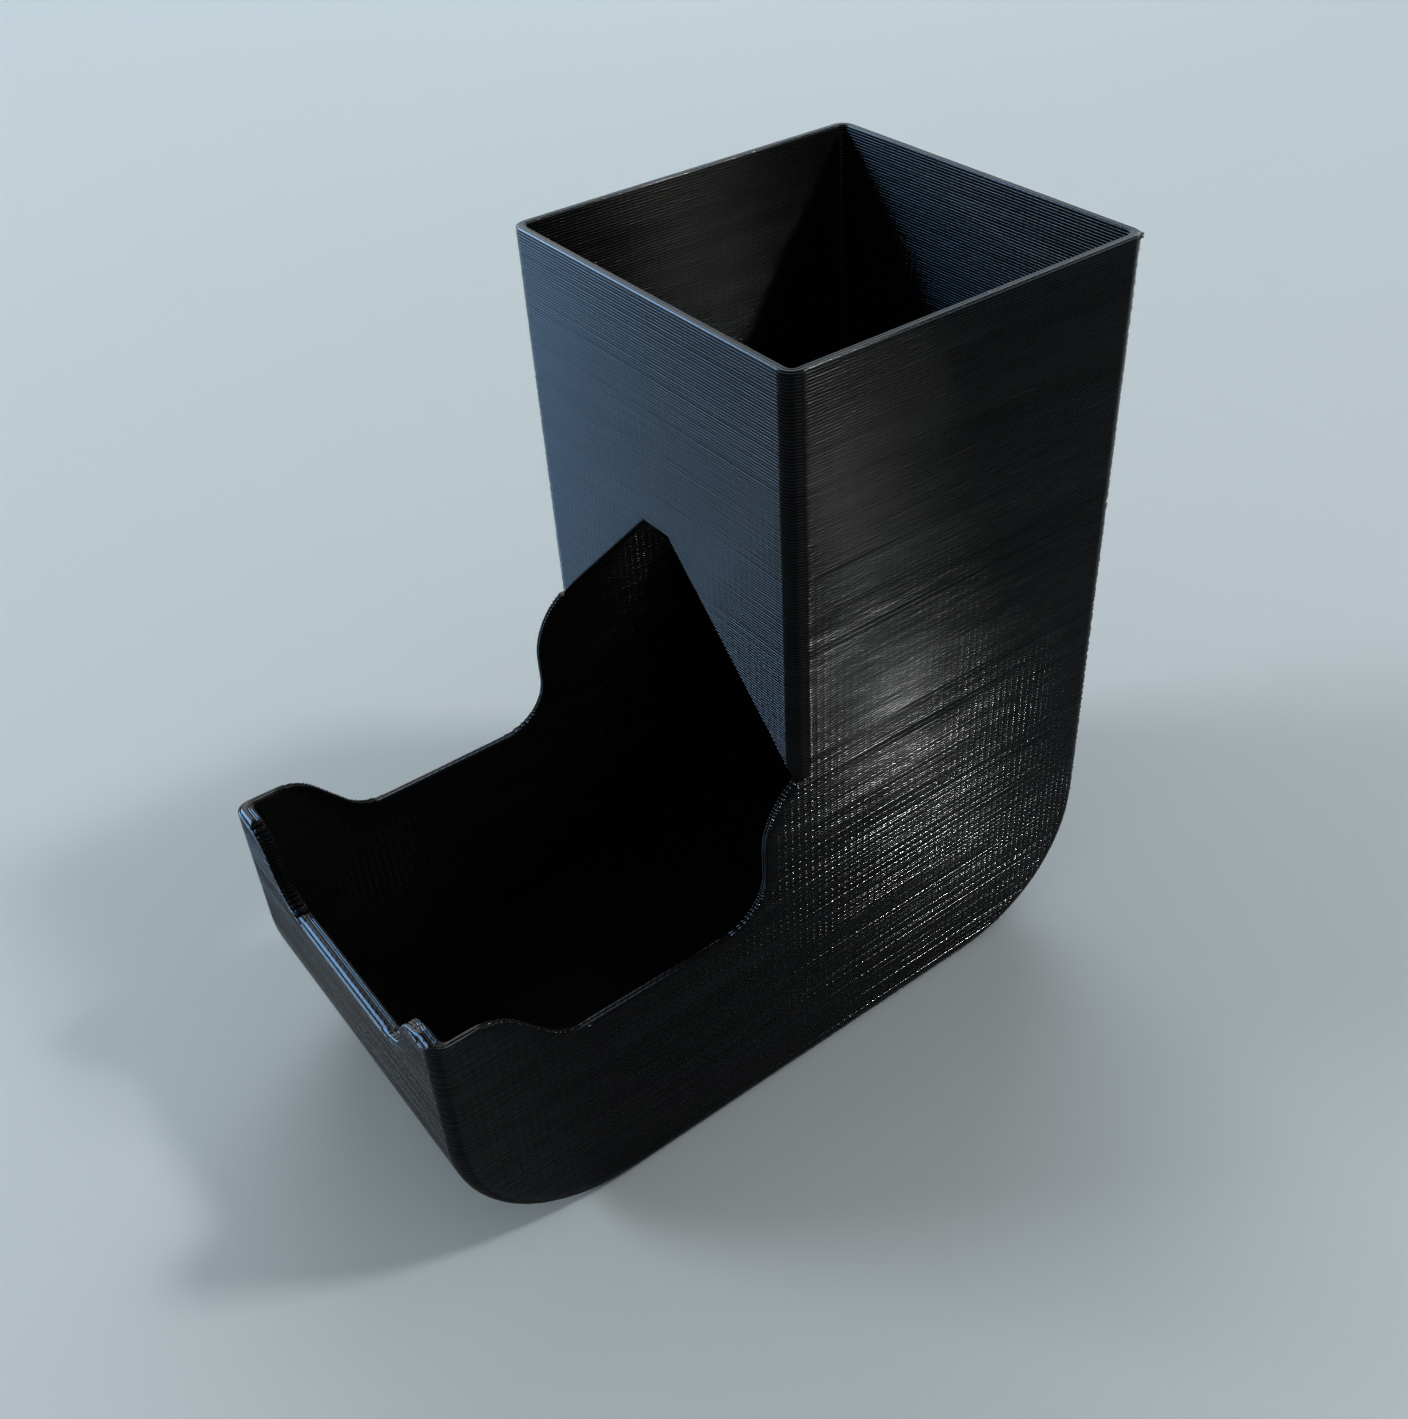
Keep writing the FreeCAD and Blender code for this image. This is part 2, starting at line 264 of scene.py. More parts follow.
def s_bend(z, foot, top, foot_radius, top_radius):
    """Place along a wall where a rim that climbs from foot to top stands at height z."""
    span = abs(top - foot)
    way = math.copysign(1.0, top - foot)
    height = CORNER_RIM - LOW_RIM
    rise = foot_radius + top_radius - height
    reach = foot_radius + top_radius
    straight = math.sqrt(span ** 2 + rise ** 2 - reach ** 2)
    turn = math.atan2(reach, straight) - math.atan2(rise, span)
    above = min(max(z - LOW_RIM, 0.0), height)
    foot_height = foot_radius * (1.0 - math.cos(turn))
    top_height = top_radius * (1.0 - math.cos(turn))
    if above <= foot_height:
        return foot + way * root(foot_radius ** 2 - (foot_radius - above) ** 2)
    if above >= height - top_height:
        drop = height - above
        return top - way * root(top_radius ** 2 - (top_radius - drop) ** 2)
    share = (above - foot_height) / (height - foot_height - top_height)
    first = foot_radius * math.sin(turn)
    last = span - top_radius * math.sin(turn)
    return foot + way * (first + share * (last - first))


def dip(z):
    return s_bend(z, DIP_END, DIP_START, DIP_RADIUS, DIP_RADIUS)


def notch(z):
    return s_bend(z, NOTCH_FOOT, NOTCH_TOP, NOTCH_FOOT_RADIUS, NOTCH_TOP_RADIUS)


def door_edge(z):
    return DOOR_APEX - z


# ---------------------------------------------------------------- blocks of layered wall


def across_wall(outer, inner):
    """Grid of points (columns, across, 3) between an outer and an inner line."""
    outer = np.asarray(outer, float)
    inner = np.asarray(inner, float)
    share = RIM_ACROSS[None, :, None]
    return outer[:, None, :] * (1.0 - share) + inner[:, None, :] * share


def block_faces(grid, free_ends=(False, False)):
    """Points and faces of the surface of a lattice block: rows up, columns along, points across."""
    rows, columns, across, _ = grid.shape
    index = np.arange(rows * columns * across).reshape(rows, columns, across)
    faces = []
    for sheet, turned in ((index[:, :, 0], False), (index[:, :, -1], True),
                          (index[0], True), (index[-1], False)):
        faces += sheet_faces(sheet, turned)
    for column, free, turned in ((0, free_ends[0], True), (-1, free_ends[1], False)):
        end = index[:, column, :]
        faces += sheet_faces(end, turned) if free else hidden_end(end, turned)
    return grid.reshape(-1, 3), faces


def sheet_faces(sheet, turned):
    corners = (sheet[:-1, :-1], sheet[:-1, 1:], sheet[1:, 1:], sheet[1:, :-1])
    quads = np.stack([corner.ravel() for corner in corners], axis=1)
    return (quads[:, ::-1] if turned else quads).tolist()


def hidden_end(end, turned):
    """One face per row for an end that lies against the next piece; rims keep all their points."""
    last = len(end) - 2
    faces = []
    for row in range(last + 1):
        low = end[row] if row == 0 else end[row][[0, -1]]
        high = end[row + 1] if row == last else end[row + 1][[0, -1]]
        face = low.tolist() + high[::-1].tolist()
        faces.append(face[::-1] if turned else face)
    return faces


def signed_volume(points, faces):
    """Six times the volume inside the faces, to tell inside from outside."""
    quads = np.array([face for face in faces if len(face) == 4])
    a, b, c, d = (points[quads[:, i]] for i in range(4))
    return np.einsum("ij,ij->i", a, np.cross(b, c) + np.cross(c, d)).sum()


def weld(blocks):
    """Joins lattice blocks, merges points in one place and drops walls that two blocks share."""
    points = []
    faces = []
    count = 0
    for block_points, block_faces_ in blocks:
        way = -1 if signed_volume(block_points, block_faces_) < 0.0 else 1
        faces += [[spot + count for spot in face[::way]] for face in block_faces_]
        points.append(block_points)
        count += len(block_points)
    points = np.concatenate(points)
    _, first, place = np.unique(np.round(points, 4), axis=0, return_index=True, return_inverse=True)
    points = points[first]
    place = place.ravel().tolist()
    seen = {}
    merged = []
    for face in faces:
        spots = [place[spot] for spot in face]
        spots = [spot for i, spot in enumerate(spots) if spot != spots[i - 1]]
        if len(spots) < 3 or len(set(spots)) < len(spots):
            continue
        key = tuple(sorted(spots))
        seen[key] = seen.get(key, 0) + 1
        merged.append((key, spots))
    return points, [spots for key, spots in merged if seen[key] == 1]


def make_piece(name, shape, material, nodes):
    points, faces = shape
    used = sorted({spot for face in faces for spot in face})
    renumber = {spot: i for i, spot in enumerate(used)}
    mesh = bpy.data.meshes.new(name)
    mesh.from_pydata((points[used] * MM).tolist(), [], [[renumber[s] for s in f] for f in faces])
    mesh.validate()
    mesh.shade_smooth()
    mesh.set_sharp_from_angle(angle=math.radians(60.0))
    mesh.materials.append(material)
    piece = bpy.data.objects.new(name, mesh)
    bpy.context.scene.collection.objects.link(piece)
    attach(piece, "root")
    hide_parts(*nodes)
    return piece


def stack(rows, shape):
    """Lattice of one block: shape(row) gives its grid at each row."""
    return np.stack([shape(row) for row in rows])


def spread(start, end, count):
    return np.linspace(start, end, count + 1)


# ---------------------------------------------------------------- side walls


def corner_points(radius, reach, line, depth_base, z, turns, sign):
    """Points round an upright corner: x from the flat middle outwards, y from line(depth)."""
    points = []
    for turn in turns:
        angle = 0.5 * math.pi * turn
        x = FLAT_HALF + min(radius * math.sin(angle), reach)
        depth = depth_base + sign * radius * math.cos(angle)
        points.append((x, line(depth), z))
    return points


def outer_corner(row, line, turns):
    radius = CORNER - row.inset
    reach = outer_reach(row.grow, row.inset)
    return corner_points(radius, reach, line, CORNER, row.z, turns, -1.0)


def inner_corner(row, line, turns):
    radius = INNER_CORNER + row.inset
    reach = inner_reach(row.shrink, row.inset)
    return corner_points(radius, reach, line, INNER_CORNER, row.z, turns, -1.0)


def flat_run(row, x, start, end, count, inward):
    """Straight stretch of a side face with each line's own slow wander."""
    places = spread(start, end, count)
    wander = drift(row.layer, places) * (0.0 if row.z < CORNER * 2.0 else 1.0)
    ease = np.minimum(1.0, np.minimum(abs(places - places[0]), abs(places - places[-1])) / 2.0)
    return [(x - inward * w * e, y, row.z) for y, w, e in zip(places, wander, ease)]


def shaft_side_shape(row, seam):
    """Section of the shaft's side wall, from its back corner to its front corner."""
    turns = CORNER_TURNS
    outer_x = FLAT_HALF + outer_reach(row.grow, row.inset)
    inner_x = FLAT_HALF + inner_reach(row.shrink, row.inset)
    outer = outer_corner(row, lambda depth: heel_line(row.grow, depth), turns)
    inner = inner_corner(row, lambda depth: ramp_line(row.shrink, depth), turns)
    if seam and not row.on_groove and row.z > HEEL_RADIUS:
        middle = len(turns) // 2
        x, y, z = outer[middle]
        outer[middle] = (x + SEAM[row.layer], y + SEAM[row.layer], z)
    flat_end = SHAFT_FRONT + CORNER
    outer += flat_run(row, outer_x, outer[-1][1], flat_end, FLAT_COLUMNS, 1.0)[1:]
    inner_start = inner[-1][1]
    inner_end = flat_end if inner_start > flat_end else 0.5 * (inner_start + SHAFT_FRONT)
    inner += flat_run(row, inner_x, inner_start, inner_end, FLAT_COLUMNS, -1.0)[1:]
    has_front_wall = row.layer > SHAFT_FOOT_LAYER or (row.layer == SHAFT_FOOT_LAYER and row.share > 0)
    if has_front_wall:
        open_half = door_edge(row.grow)
        last = math.asin(min(max((open_half - FLAT_HALF) / CORNER, 0.0), 1.0)) / (0.5 * math.pi)
        back_turns = [1.0 - turn * (1.0 - last) for turn in turns]
        front_outer = outer_corner(row, lambda depth: SHAFT_FRONT + depth, back_turns)
        front_inner = inner_corner(row, lambda depth: SHAFT_FRONT + WALL + depth, back_turns)
    else:
        front_outer = [(outer_x, y, row.z) for y in flat_end + (SHAFT_FRONT - flat_end) * np.array(turns)]
        front_inner = [(inner_x, y, row.z)
                       for y in inner_end + (SHAFT_FRONT - inner_end) * np.array(turns)]
    return across_wall(outer + front_outer[1:], inner + front_inner[1:])


def shaft_side(seam):
    rows = row_list(0, LAYERS)
    grid = stack(rows, lambda row: shaft_side_shape(row, seam))
    return [block_faces(crowned(grid, rows, TWO_LINE_RIM))]


def crowned(grid, rows, drop):
    """Lowers the last rows of a wall whose top is open to the section of its rim."""
    grid = grid.copy()
    for number in range(len(rows) - 3, len(rows)):
        grid[number, :, :, 2] -= rows[number].crown * drop
    return grid


def is_free(row, foot_layer):
    """True for rows of the layers that start above the groove on top of foot_layer - 1."""
    return row.layer > foot_layer or (row.layer == foot_layer and not row.on_groove)


def free_end(grid, column, way, rows, foot_layer, drop, last_layer=LAYERS):
    """Rounds the end of every line where a wall stops in the open; way points into the wall."""
    grid = grid.copy()
    for number, row in enumerate(rows):
        if is_free(row, foot_layer) and row.layer < last_layer:
            shift = (END_ROUNDING + END_GROOVE * row.depth)[:, None] * np.asarray(way)[None, :]
            grid[number, column] += shift
        open_above = row.layer >= foot_layer - (not row.on_groove)
        if open_above and number < len(rows) - 3:
            grid[number, column, :, 2] -= row.crown * drop
    return grid


def end_places(start, end, count):
    """Places from start to end, closer together near the end."""
    way = math.copysign(1.0, end - start)
    scale = min(1.0, abs(end - start) / (2.0 * END_BAND))
    near = [end - way * scale * step for step in END_STEPS]
    return np.concatenate([spread(start, near[0], count), near[1:]])


def end_ease(places, end, free):
    """How far a face is drawn in on its way to a free end."""
    if not free:
        return np.zeros(len(places))
    return END_EASE * np.clip(1.0 - abs(places - end) / END_BAND, 0.0, 1.0) ** 2


def side_run(row, start, ends, count, foot_layer):
    """Stretch of a tray side wall that may stop in the open: ends are its outer and inner ends."""
    free = is_free(row, foot_layer)
    lines = []
    for end, reach, inward in ((ends[0], outer_reach(row.grow, row.inset), 1.0),
                               (ends[1], inner_reach(row.shrink, row.inset), -1.0)):
        places = end_places(start, end, count)
        ease = end_ease(places, end, free) * inward
        lines.append([(FLAT_HALF + reach - e, y, row.z) for y, e in zip(places, ease)])
    return lines


def tray_limits(row):
    """Where the dip ends, kept clear of the toe's curve near the table."""
    outer = max(dip(row.shrink), toe_line(row.grow, CORNER) + 0.5)
    inner = max(dip(row.shrink), inner_toe_line(row.shrink, INNER_CORNER) + 0.5)
    return outer, inner


def tray_rear_shape(row):
    end = CLIMB_LINE - CLIMB_RADIUS
    if is_free(row, LOW_RIM_LAYER):
        end = min(climb(row.shrink), SHAFT_FRONT - 0.05)
    return across_wall(*side_run(row, SHAFT_FRONT, (end, end), SHORT_COLUMNS, LOW_RIM_LAYER))


def tray_dip_shape(row):
    start = CLIMB_LINE - CLIMB_RADIUS
    ends = (DIP_END, DIP_END) if row.layer == LOW_RIM_LAYER else tray_limits(row)
    lines = []
    for end, reach in zip(ends, (outer_reach(row.grow, row.inset), inner_reach(row.shrink, row.inset))):
        lines.append([(FLAT_HALF + reach, y, row.z) for y in spread(start, end, SHORT_COLUMNS)])
    return across_wall(*lines)


def tray_post_shape(row):
    """Front stretch of a tray side wall, from the open dip round the front corner."""
    turns = [1.0 - turn for turn in CORNER_TURNS]
    ends = (DIP_END, DIP_END) if row.layer == LOW_RIM_LAYER and row.on_groove else tray_limits(row)
    outer = outer_corner(row, lambda depth: toe_line(row.grow, depth), turns)
    inner = inner_corner(row, lambda depth: inner_toe_line(row.shrink, depth), turns)
    free = is_free(row, LOW_RIM_LAYER)
    lines = []
    for end, corner, inward in ((ends[0], outer, 1.0), (ends[1], inner, -1.0)):
        places = end_places(corner[0][1], end, SHORT_COLUMNS)[::-1]
        ease = end_ease(places, end, free) * inward
        run = [(corner[0][0] - e, y, row.z) for y, e in zip(places, ease)]
        lines.append(run + corner[1:])
    return across_wall(*lines)


def tray_side():
    rows = row_list(0, SHAFT_FOOT_LAYER)
    rear = crowned(stack(rows, tray_rear_shape), rows, TWO_LINE_RIM)
    rear = free_end(rear, -1, (0.0, 1.0, 0.0), rows, LOW_RIM_LAYER, TWO_LINE_RIM)
    rows = row_list(0, LOW_RIM_LAYER)
    middle = crowned(stack(rows, tray_dip_shape), rows, TWO_LINE_RIM)
    rows = row_list(0, CORNER_RIM_LAYER)
    post = stack(rows, tray_post_shape)
    turned = post.shape[1] - len(CORNER_TURNS)
    blend = np.clip((np.arange(post.shape[1]) - turned) / (len(CORNER_TURNS) - 1.0), 0.0, 1.0)
    drop = TWO_LINE_RIM[None, :] * (1.0 - blend[:, None]) + FRONT_RIM[None, :] * blend[:, None]
    post = free_end(crowned(post, rows, drop), 0, (0.0, -1.0, 0.0), rows, LOW_RIM_LAYER, TWO_LINE_RIM)
    return [block_faces(rear, (False, True)), block_faces(middle, (True, True)),
            block_faces(post, (True, False))]


# ---------------------------------------------------------------- walls across the tower


def cross_shape(row, left, right, outer_y, inner_y, count):
    """Section of a wall that runs across the tower, from x left to x right."""
    places = spread(left, right, count)
    outer = [(x, outer_y, row.z) for x in places]
    inner = [(x, inner_y, row.z) for x in places]
    return across_wall(outer, inner)


def wandering(grid, rows, outward):
    """Adds each line's slow wander to the outer and inner faces of a wall across the tower."""
    for number, row in enumerate(rows):
        places = grid[number, :, 0, 0]
        ease = np.clip((FLAT_HALF - np.abs(places)) / 2.0, 0.0, 1.0)
        wander = drift(row.layer, places) * ease
        grid[number, :, 0, 1] -= outward * wander
        grid[number, :, -1, 1] += outward * wander
    return grid


def across_lattice(rows, outer_y, inner_y):
    """Block that runs across the whole tower between two lines of the side outline."""
    grid = stack(rows, lambda row: cross_shape(row, -FLAT_HALF, FLAT_HALF, outer_y(row), inner_y(row),
                                               FLAT_COLUMNS))
    return grid


def toe():
    rows = row_list(0, TOE_TOP_LAYER)
    grid = across_lattice(rows, lambda row: toe_line(row.grow, row.inset),
                          lambda row: inner_toe_line(row.shrink, -row.inset))
    return [block_faces(wandering(grid, rows, -1.0))]


def front_wall_of_tray():
    """Front wall of the tray: two flanks up to the corner plateaus and the low middle."""
    def section(row, places):
        outer = [(x, toe_line(row.grow, row.inset), row.z) for x in places]
        inner = [(x, inner_toe_line(row.shrink, -row.inset), row.z) for x in places]
        return across_wall(outer, inner)

    rows = row_list(TOE_TOP_LAYER, LOW_RIM_LAYER)
    middle = stack(rows, lambda row: section(row, spread(-NOTCH_FOOT, NOTCH_FOOT, 2 * SHORT_COLUMNS)))
    blocks = [block_faces(crowned(wandering(middle, rows, -1.0), rows, FRONT_RIM), (True, True))]
    rows = row_list(TOE_TOP_LAYER, CORNER_RIM_LAYER)
    for side in (-1.0, 1.0):
        def flank(row, side=side):
            free = is_free(row, LOW_RIM_LAYER)
            edge = side * (notch(row.shrink) if free else NOTCH_FOOT)
            places = end_places(side * FLAT_HALF, edge, SHORT_COLUMNS)
            grid = section(row, places)
            ease = end_ease(places, edge, free)
            grid[:, 0, 1] += ease
            grid[:, -1, 1] -= ease
            return grid

        grid = crowned(wandering(stack(rows, flank), rows, -1.0), rows, FRONT_RIM)
        grid = free_end(grid, -1, (side, 0.0, 0.0), rows, LOW_RIM_LAYER, FRONT_RIM)
        blocks.append(block_faces(grid, (False, True)))
    return blocks


def doorway_wall():
    """Front wall of the shaft: two flanks that lean in over the doorway, closed above it."""
    def section(row, places):
        outer = [(x, SHAFT_FRONT + row.inset, row.z) for x in places]
        inner = [(x, SHAFT_FRONT + WALL - row.inset, row.z) for x in places]
        return across_wall(outer, inner)

    top_half = door_edge((DOOR_TOP_LAYER - 0.5) * LAYER)
    rows = row_list(DOOR_TOP_LAYER, LAYERS)
    middle = stack(rows, lambda row: section(row, spread(-top_half, top_half, 2)))
    blocks = [block_faces(crowned(wandering(middle, rows, -1.0), rows, TWO_LINE_RIM), (True, True))]
    rows = row_list(DOOR_FOOT_LAYER, LAYERS)
    for side in (-1.0, 1.0):
        def flank(row, side=side):
            above = is_free(row, DOOR_TOP_LAYER) or row.layer == DOOR_TOP_LAYER
            edge = top_half if above else min(door_edge(row.grow), FLAT_HALF - 0.05)
            return section(row, end_places(side * FLAT_HALF, side * edge, FLAT_COLUMNS // 2))

        grid = crowned(wandering(stack(rows, flank), rows, -1.0), rows, TWO_LINE_RIM)
        grid = free_end(grid, -1, (side, 0.0, 0.0), rows, DOOR_FOOT_LAYER, 0.0 * TWO_LINE_RIM,
                        DOOR_TOP_LAYER)
        blocks.append(block_faces(grid, (False, True)))
    return blocks


def back_wall():
    rows = row_list(RAMP_TOP_LAYER, LAYERS)
    grid = across_lattice(rows, lambda row: BACK - row.inset, lambda row: INNER_BACK + row.inset)
    return [block_faces(crowned(wandering(grid, rows, 1.0), rows, TWO_LINE_RIM))]


def under_ramp_line(z):
    """Y of the ramp skin's underside at height z."""
    skin = RAMP_RADIUS + WALL
    return RAMP_START + root(skin ** 2 - (FLOOR + RAMP_RADIUS - z) ** 2)


def ramp():
    rows = row_list(0, RAMP_TOP_LAYER)
    return [block_faces(across_lattice(
        rows, lambda row: ramp_line(row.shrink, -row.inset),
        lambda row: min(under_ramp_line(row.z) + 0.02, INNER_BACK + row.inset)))]


def heel_inner_line(z):
    if z < WALL:
        return under_ramp_line(z)
    if z >= HEEL_RADIUS:
        return INNER_BACK
    return BACK - HEEL_RADIUS + root((HEEL_RADIUS - WALL) ** 2 - (HEEL_RADIUS - z) ** 2)


def heel():
    rows = row_list(0, RAMP_TOP_LAYER)
    grid = across_lattice(rows, lambda row: heel_line(row.grow, row.inset),
                          lambda row: heel_inner_line(row.z) + 0.02)
    return [block_faces(grid)]


LINE_PITCH = 0.6
LINE_SAMPLES = 4
LINE_DROP = (0.055, 0.012, 0.0, 0.012)


def floor_slab():
    """Flat floor whose top shows lines laid side by side at 45 degrees to the walls."""
    step = LINE_PITCH / LINE_SAMPLES
    columns = round(2.0 * FLAT_HALF / step)
    rows = round((RAMP_START - TOE_AXIS) / step)
    x, y = np.meshgrid(spread(-FLAT_HALF, FLAT_HALF, columns), spread(TOE_AXIS, RAMP_START, rows),
                       indexing="ij")
    line = np.subtract.outer(np.arange(columns + 1), np.arange(rows + 1)) % LINE_SAMPLES
    z = FLOOR - np.array(LINE_DROP)[line]
    index = np.arange(x.size).reshape(x.shape)
    a, b, c, d = index[:-1, :-1], index[1:, :-1], index[1:, 1:], index[:-1, 1:]
    faces = np.concatenate([np.stack([p.ravel() for p in (a, b, c)], axis=1),
                            np.stack([p.ravel() for p in (a, c, d)], axis=1)]).tolist()
    count = x.size
    low = [(-FLAT_HALF, TOE_AXIS, 0.0), (FLAT_HALF, TOE_AXIS, 0.0), (FLAT_HALF, RAMP_START, 0.0),
           (-FLAT_HALF, RAMP_START, 0.0)]
    edges = (index[:, 0], index[-1, :], index[::-1, -1], index[0, ::-1])
    for side, edge in enumerate(edges):
        faces.append([count + side, count + (side + 1) % 4] + edge[::-1].tolist())
    faces.append([count + 3, count + 2, count + 1, count])
    points = np.concatenate([np.stack([x.ravel(), y.ravel(), z.ravel()], axis=1), np.array(low)])
    return points, faces


def mirrored(blocks):
    return [(points * np.array([-1.0, 1.0, 1.0]), faces) for points, faces in blocks]


# ---------------------------------------------------------------- materials


class Nodes:
    """Small helper that adds shader nodes and links by name."""

    def __init__(self, name):
        self.material = bpy.data.materials.new(name)
        self.material.use_nodes = True
        self.tree = self.material.node_tree
        self.tree.nodes.clear()
        self.output = self.add("ShaderNodeOutputMaterial")
        self.surface = self.add("ShaderNodeBsdfPrincipled")
        self.link(self.surface, "BSDF", self.output, "Surface")

    def add(self, kind, **values):
        node = self.tree.nodes.new(kind)
        for key, value in values.items():
            setattr(node, key, value)
        return node

    def link(self, source, output, target, socket):
        self.tree.links.new(source.outputs[output], target.inputs[socket])

    def set(self, node, **values):
        for key, value in values.items():
            node.inputs[key.replace("_", " ")].default_value = value


    def scaled(self, across, upright):
        """Object coordinates in features: across and upright are feature sizes in millimetres."""
        place = self.add("ShaderNodeTexCoord")
        size = self.add("ShaderNodeMapping")
        size.inputs["Scale"].default_value = (1.0 / (across * MM), 1.0 / (across * MM),
                                              1.0 / (upright * MM))
        self.link(place, "Object", size, "Vector")
        return size

    def noise(self, across, upright, detail=2.0, rough=0.5, offset=0.0):
        size = self.scaled(across, upright)
        size.inputs["Location"].default_value = (offset, offset, offset)
        node = self.add("ShaderNodeTexNoise")
        self.set(node, Scale=1.0, Detail=detail, Roughness=rough)
        self.link(size, "Vector", node, "Vector")
        return node

    def ranged(self, source, output, low, high, to_low, to_high):
        node = self.add("ShaderNodeMapRange")
        self.set(node, From_Min=low, From_Max=high, To_Min=to_low, To_Max=to_high)
        self.link(source, output, node, "Value")
        return node

    def maths(self, operation, first, second):
        """Math node of two inputs, each a (node, output) pair or a number."""
        node = self.add("ShaderNodeMath", operation=operation)
        for number, value in enumerate((first, second)):
            if isinstance(value, tuple):
                self.tree.links.new(value[0].outputs[value[1]], node.inputs[number])
            else:
                node.inputs[number].default_value = value
        return node

    def bump(self, source, output, depth, under=None):
        """Bump of the given depth in millimetres for heights from 0 to 1."""
        node = self.add("ShaderNodeBump")
        self.set(node, Strength=1.0, Distance=depth * MM)
        self.link(source, output, node, "Height")
        if under:
            self.link(under, "Normal", node, "Normal")
        return node


def layer_places(kit):
    """Height inside a layer from -0.5 to 0.5, and coordinates that jump from layer to layer."""
    place = kit.add("ShaderNodeTexCoord")
    parts = kit.add("ShaderNodeSeparateXYZ")
    kit.link(place, "Object", parts, "Vector")
    height = kit.maths("MULTIPLY", (parts, "Z"), 1.0 / (LAYER * MM))
    layer = kit.maths("FLOOR", (height, "Value"), 0.0)
    inside = kit.maths("SUBTRACT", (kit.maths("SUBTRACT", (height, "Value"), (layer, "Value")),
                                    "Value"), 0.5)
    jump = kit.maths("MULTIPLY", (layer, "Value"), 3.7)
    spot = kit.add("ShaderNodeCombineXYZ")
    for axis in ("X", "Y"):
        along = kit.maths("MULTIPLY", (parts, axis), 1.0 / (9.0 * MM))
        kit.link(along, "Value", spot, axis)
    kit.link(jump, "Value", spot, "Z")
    return inside, spot


RIPPLE_PITCH = 1.02
RIPPLE_DEPTH = 0.014


def ripple_height(kit):
    """Even upright ripples along every wall, stronger in some places than in others."""
    place = kit.add("ShaderNodeTexCoord")
    parts = kit.add("ShaderNodeSeparateXYZ")
    kit.link(place, "Object", parts, "Vector")
    along = kit.maths("ADD", (parts, "X"), (parts, "Y"))
    wander = kit.ranged(kit.noise(9.0, 60.0, 1.0), "Fac", 0.0, 1.0, 0.0, 4.0)
    waves = []
    for pitch, height in ((RIPPLE_PITCH, 0.7), (RIPPLE_PITCH / 2.0, 0.3)):
        turn = kit.maths("MULTIPLY", (along, "Value"), 2.0 * math.pi / (pitch * MM))
        turn = kit.maths("ADD", (turn, "Value"), (wander, "Result"))
        wave = kit.maths("SINE", (turn, "Value"), 0.0)
        waves.append(kit.maths("MULTIPLY", (wave, "Value"), 0.5 * height))
    both = kit.maths("ADD", (waves[0], "Value"), (waves[1], "Value"))
    strength = kit.ranged(kit.noise(12.0, 18.0, 2.0, offset=5.0), "Fac", 0.3, 0.7, 0.3, 1.0)
    return kit.maths("MULTIPLY", (both, "Value"), (strength, "Result"))


def filament_material(name, colour):
    """Glossy black filament: faint upright ripples, and streaks that follow single layers: real ones in
    the roughness, and painted reflection streaks where the same bands lighten and darken the base colour.
    """
    kit = Nodes(name)
    inside, spot = layer_places(kit)
    streaks = kit.add("ShaderNodeTexNoise")
    kit.set(streaks, Scale=1.0, Detail=2.0, Roughness=0.6)
    kit.link(spot, "Vector", streaks, "Vector")
    lean = kit.ranged(streaks, "Fac", 0.25, 0.75, -1.0, 1.0)
    tilt = kit.maths("MULTIPLY", (inside, "Value"), (lean, "Result"))
    bands = kit.noise(60.0, 2.2, 3.0, 0.6, offset=11.0)
    first = kit.bump(ripple_height(kit), "Value", RIPPLE_DEPTH)
    fine = kit.noise(0.32, 2.0, 1.0, offset=3.0)
    second = kit.bump(fine, "Fac", 0.002, first)
    third = kit.bump(tilt, "Value", 0.028, second)
    kit.link(third, "Normal", kit.surface, "Normal")
    gloss = kit.maths("ADD", (kit.ranged(streaks, "Fac", 0.3, 0.7, 0.05, 0.13), "Result"),
                      (kit.ranged(bands, "Fac", 0.3, 0.7, 0.0, 0.03), "Result"))
    kit.link(gloss, "Value", kit.surface, "Roughness")
    # painted reflection streaks: the layer bands lighten and darken the base colour to stand in for
    # layers that catch the lamps unevenly
    painted_streak_colour = kit.add("ShaderNodeMix", data_type="RGBA")
    kit.link(bands, "Fac", painted_streak_colour, "Factor")
    for socket, share in zip([s for s in painted_streak_colour.inputs if s.type == "RGBA"], (0.5, 1.6)):
        socket.default_value = (*[share * value for value in colour], 1.0)
    kit.tree.links.new([s for s in painted_streak_colour.outputs if s.type == "RGBA"][0],
                       kit.surface.inputs["Base Color"])
    kit.set(kit.surface, IOR=1.45, Specular_IOR_Level=0.20)
    return kit.material


def floor_material():
    kit = Nodes("pale_table")
    kit.set(kit.surface, Base_Color=(0.68, 0.71, 0.71, 1.0), Roughness=0.5, IOR=1.45,
            Specular_IOR_Level=0.0)
    return kit.material


# ---------------------------------------------------------------- stage, lights and camera


FLOOR_HALF = 4.0
FLOOR_LEVEL = -0.02


def pale_floor():
    size = FLOOR_HALF
    low = FLOOR_LEVEL * MM
    mesh = bpy.data.meshes.new("studio_floor")
    corners = [(-size, -size, low), (size, -size, low), (size, size, low), (-size, size, low)]
    mesh.from_pydata(corners, [], [(0, 1, 2, 3)])
    mesh.materials.append(floor_material())
    plane = bpy.data.objects.new("studio_floor", mesh)
    bpy.context.scene.collection.objects.link(plane)


def polar(azimuth, elevation, distance):
    """Point round the tower: azimuth 0 is in front of it, 90 on its right."""
    turn = math.radians(azimuth)
    lift = math.radians(elevation)
    flat = distance * math.cos(lift)
    return Vector((flat * math.sin(turn), -flat * math.cos(turn), distance * math.sin(lift)))


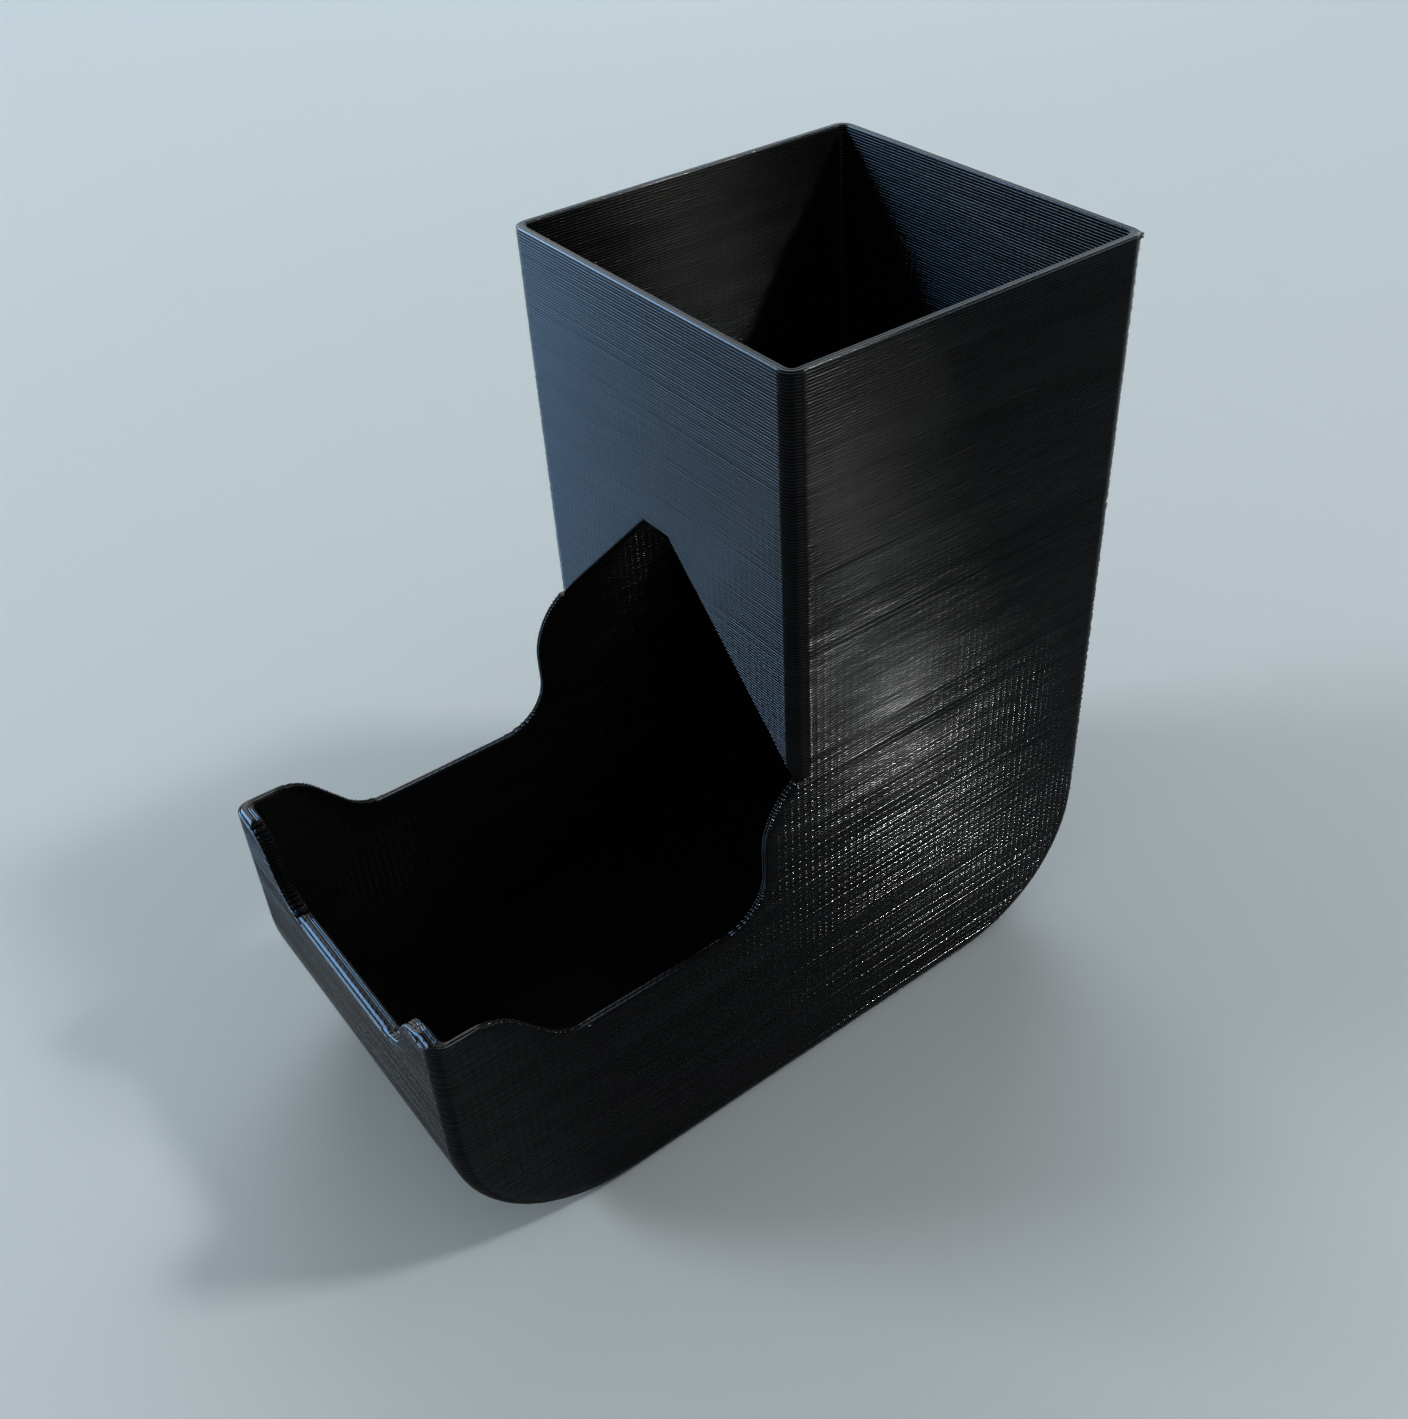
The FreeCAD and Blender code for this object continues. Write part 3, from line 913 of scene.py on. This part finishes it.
def area_light(name, place, size, watts, colour, lights_surfaces=True):
    """Panel aimed at the tower's middle; place is azimuth, elevation and distance."""
    aim = Vector((0.0, 0.0, 0.05))
    data = bpy.data.lights.new(name, "AREA")
    data.shape = "RECTANGLE"
    data.size, data.size_y = size
    data.energy = watts
    data.color = colour
    light = bpy.data.objects.new(name, data)
    light.location = aim + polar(*place)
    light.rotation_mode = "QUATERNION"
    light.rotation_quaternion = (aim - light.location).to_track_quat("-Z", "Y")
    light.visible_diffuse = lights_surfaces
    bpy.context.scene.collection.objects.link(light)


def studio():
    world = bpy.data.worlds.new("studio")
    world.use_nodes = True
    background = world.node_tree.nodes["Background"]
    background.inputs["Color"].default_value = (0.86, 0.93, 0.98, 1.0)
    background.inputs["Strength"].default_value = 0.27
    bpy.context.scene.world = world
    bpy.context.scene.view_settings.view_transform = "Standard"
    bpy.context.scene.view_settings.look = "High Contrast"
    area_light("key", (144.4, 49.3, 1.0), (0.12, 0.12), 1.7, (1.0, 1.0, 1.0))
    area_light("glint", (144.4, 49.3, 1.0), (0.03, 0.03), 4.6, (1.0, 1.0, 1.0), lights_surfaces=False)
    area_light("window", (-36.9, 18.0, 1.1), (0.36, 0.36), 4.7, (0.86, 0.94, 1.0))
    area_light("sky", (-66.0, 32.0, 1.0), (0.45, 0.8), 23.0, (0.37, 0.64, 1.0), lights_surfaces=False)
    area_light("back_window", (-127.0, 30.0, 1.1), (0.9, 0.7), 3.1, (0.80, 0.91, 1.0))
    for side, azimuth, width in (("right", 84.0, 0.6), ("back", 185.0, 0.6), ("left", -95.0, 0.4)):
        area_light("soft_" + side, (azimuth, 25.0, 1.0), (width, 0.8), 7.0 * width, (0.95, 0.98, 1.0),
                   lights_surfaces=False)


CAMERA_FROM = (57.04, 37.71, 0.19065)
CAMERA_LOOK = (53.82, 38.69)
CAMERA_ROLL = -2.73
LENS = 39.24
SHIFT = (-0.0263, -0.0094)


def camera():
    low, high = CAD_BOX
    centre = 0.5 * (low + high)
    azimuth, elevation = CAMERA_LOOK
    back = polar(azimuth, elevation, 1.0)
    level = back.to_track_quat("Z", "Y")
    roll = Matrix.Rotation(math.radians(CAMERA_ROLL), 3, "Z").to_quaternion()
    data = bpy.data.cameras.new("camera")
    data.lens = LENS
    data.shift_x, data.shift_y = SHIFT
    data.clip_start = 0.01
    data.clip_end = 10.0
    eye = bpy.data.objects.new("camera", data)
    eye.rotation_mode = "QUATERNION"
    eye.location = centre + polar(*CAMERA_FROM)
    eye.rotation_quaternion = level @ roll
    bpy.context.scene.collection.objects.link(eye)
    bpy.context.scene.camera = eye


def build():
    black = filament_material("black_filament", (0.017, 0.017, 0.018))
    make_piece("floor_of_tray", floor_slab(), black, ["tray_floor"])
    make_piece("toe_of_tray", weld(toe()), black, ["tray_toe"])
    make_piece("front_wall_of_tray", weld(front_wall_of_tray()), black, ["tray_front_wall"])
    make_piece("doorway_wall", weld(doorway_wall()), black, ["shaft_front_wall"])
    make_piece("back_wall", weld(back_wall()), black, ["shaft_back_wall"])
    make_piece("ramp", weld(ramp()), black, ["exit_ramp"])
    make_piece("heel", weld(heel()), black, ["heel_skin"])
    make_piece("right_wall_of_shaft", weld(shaft_side(True)), black, ["shaft_right_wall"])
    make_piece("left_wall_of_shaft", weld(mirrored(shaft_side(False))), black, ["shaft_left_wall"])
    tray = tray_side()
    make_piece("right_wall_of_tray", weld(tray), black, ["tray_right_wall"])
    make_piece("left_wall_of_tray", weld(mirrored(tray)), black, ["tray_left_wall"])
    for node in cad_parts.values():
        node.data.materials.clear()
        node.data.materials.append(black)


pale_floor()
studio()
camera()
build()
